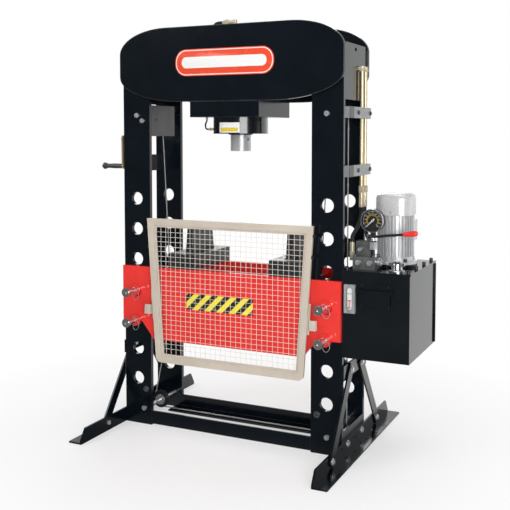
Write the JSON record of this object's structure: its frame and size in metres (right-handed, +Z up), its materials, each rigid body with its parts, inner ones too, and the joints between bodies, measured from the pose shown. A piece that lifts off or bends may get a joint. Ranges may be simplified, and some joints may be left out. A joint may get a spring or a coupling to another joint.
{
  "type": "hydraulic press",
  "caption": "Black column workshop press with a red pinned bed, hydraulic ram, V-blocks, beige mesh guard, hand winch and a motor power pack on the right.",
  "frame": {"origin": "floor level in the middle of the frame, centred between the four floor anchor holes", "axes": "X to the right seen from the guard side, Y to the rear, Z up"},
  "size_m": [1.657, 1.07, 2.003],
  "materials": {
    "black_paint": "gloss",
    "grey_paint": "satin",
    "red_paint": "gloss",
    "beige_paint": "satin",
    "tan_paint": "satin",
    "zinc": "satin",
    "steel": "satin",
    "chrome": "polished",
    "cast": "matte",
    "alu": "satin",
    "gold_zinc": "satin",
    "rubber": "matte",
    "red_plastic": "gloss",
    "glass": "clear"
  },
  "bodies": {
    "frame": {"front_uprights": "black_paint", "rear_uprights": "black_paint", "head_front_plate": "black_paint", "head_rear_plate": "black_paint", "head_side_plates": "black_paint", "feet": "black_paint", "brace_plates": "grey_paint", "braces": "black_paint", "crossbars": "black_paint", "bolts": "zinc", "cylinder_block": "black_paint", "cylinder_barrel": "black_paint", "cylinder_gland": "steel", "cylinder_cap": "black_paint", "winch_frame": "grey_paint", "rope_cover": "grey_paint", "lift_cable": "steel", "level_cable": "steel", "tank": "black_paint", "tank_lid": "black_paint", "level_gauge": "grey_paint", "level_glass": "glass", "motor_adapter": "black_paint", "motor_housing": "alu", "fan_cover": "grey_paint", "pump": "cast", "valve_block": "black_paint", "gauge_case": "black_paint", "gauge_glass": "glass", "pipes": "gold_zinc", "fittings": "gold_zinc", "pipe_clamps": "zinc", "hoses": "rubber"},
    "bed": {"bed_front_plate": "red_paint", "bed_rear_plate": "red_paint", "bed_webs": "red_paint", "v_blocks": "cast"},
    "guard": {"guard_frame": "beige_paint", "guard_mesh": "beige_paint", "guard_bumpers": "rubber"},
    "upper_left_pin": {"pin_upper_left": "steel"},
    "upper_right_pin": {"pin_upper_right": "steel"},
    "lower_left_pin": {"pin_lower_left": "steel"},
    "lower_right_pin": {"pin_lower_right": "steel"},
    "press_ram": {"ram": "chrome", "piston": "steel"},
    "winch": {"winch_drum": "steel", "winch_crank": "tan_paint"},
    "grip": {"winch_grip": "steel"},
    "top_left_pulley": {"pulley_top_left": "black_paint"},
    "top_right_pulley": {"pulley_top_right": "black_paint"},
    "low_left_pulley": {"pulley_low_left": "black_paint"},
    "low_right_pulley": {"pulley_low_right": "black_paint"},
    "lever": {"valve_lever": "black_paint", "lever_grip": "red_plastic"},
    "pointer": {"gauge_pointer": "zinc"},
    "bail": {"tank_handle": "black_paint"},
    "cap": {"breather_cap": "zinc"},
    "rotor": {"motor_rotor": "steel"}
  },
  "joints": [
    {"name": "ram_stroke", "type": "slide", "parent": "frame", "child": "press_ram", "axis": [0, 0, -1], "range_m": [0, 0.29]},
    {"name": "bed_lift", "type": "slide", "parent": "frame", "child": "bed", "axis": [0, 0, 1], "range_m": [0, 0.005]},
    {"name": "guard_lift", "type": "slide", "parent": "bed", "child": "guard", "axis": [0, 0, 1], "range_m": [0, 0.3]},
    {"name": "upper_left_pull", "type": "slide", "parent": "frame", "child": "upper_left_pin", "axis": [0, -1, 0], "range_m": [0, 0.4]},
    {"name": "upper_right_pull", "type": "slide", "parent": "frame", "child": "upper_right_pin", "axis": [0, -1, 0], "range_m": [0, 0.4]},
    {"name": "lower_left_pull", "type": "slide", "parent": "frame", "child": "lower_left_pin", "axis": [0, -1, 0], "range_m": [0, 0.4]},
    {"name": "lower_right_pull", "type": "slide", "parent": "frame", "child": "lower_right_pin", "axis": [0, -1, 0], "range_m": [0, 0.4]},
    {"name": "winch_turn", "type": "hinge", "parent": "frame", "child": "winch", "pos_m": [-0.542, -0.06, 1.425], "axis": [1, 0, 0], "continuous": true},
    {"name": "grip_turn", "type": "hinge", "parent": "winch", "child": "grip", "pos_m": [-0.7, -0.06, 1.285], "axis": [1, 0, 0], "continuous": true},
    {"name": "top_left_turn", "type": "hinge", "parent": "frame", "child": "top_left_pulley", "pos_m": [-0.497, 0, 1.54], "axis": [0, 1, 0], "continuous": true},
    {"name": "top_right_turn", "type": "hinge", "parent": "frame", "child": "top_right_pulley", "pos_m": [0.497, 0, 1.54], "axis": [0, 1, 0], "continuous": true},
    {"name": "low_left_turn", "type": "hinge", "parent": "frame", "child": "low_left_pulley", "pos_m": [-0.466, 0, 0.081], "axis": [0, 1, 0], "continuous": true},
    {"name": "low_right_turn", "type": "hinge", "parent": "frame", "child": "low_right_pulley", "pos_m": [0.504, 0, 0.081], "axis": [0, 1, 0], "continuous": true},
    {"name": "lever_tilt", "type": "hinge", "parent": "frame", "child": "lever", "pos_m": [0.667, -0.057, 0.988], "axis": [0, 1, 0], "range_deg": [-18, 18], "stiffness_Nm_per_rad": 12},
    {"name": "pointer_swing", "type": "hinge", "parent": "frame", "child": "pointer", "pos_m": [0.693, -0.106, 1.067], "axis": [0, 1, 0], "range_deg": [0, 270], "stiffness_Nm_per_rad": 0.004},
    {"name": "bail_swing", "type": "hinge", "parent": "frame", "child": "bail", "pos_m": [0.65, -0.172, 0.764], "axis": [-1, 0, 0], "range_deg": [0, 90]},
    {"name": "cap_turn", "type": "hinge", "parent": "frame", "child": "cap", "pos_m": [0.806, -0.108, 0.88], "axis": [0, 0, 1], "continuous": true},
    {"name": "rotor_spin", "type": "hinge", "parent": "frame", "child": "rotor", "pos_m": [0.748, 0.074, 1], "axis": [0, 0, 1], "continuous": true}
  ],
  "couplings": [
    {"joint": "top_left_turn", "follows": "winch_turn", "ratio": 0.8778},
    {"joint": "top_right_turn", "follows": "winch_turn", "ratio": -0.8778},
    {"joint": "low_left_turn", "follows": "winch_turn", "ratio": -1.0395},
    {"joint": "low_right_turn", "follows": "winch_turn", "ratio": -1.0395}
  ]
}
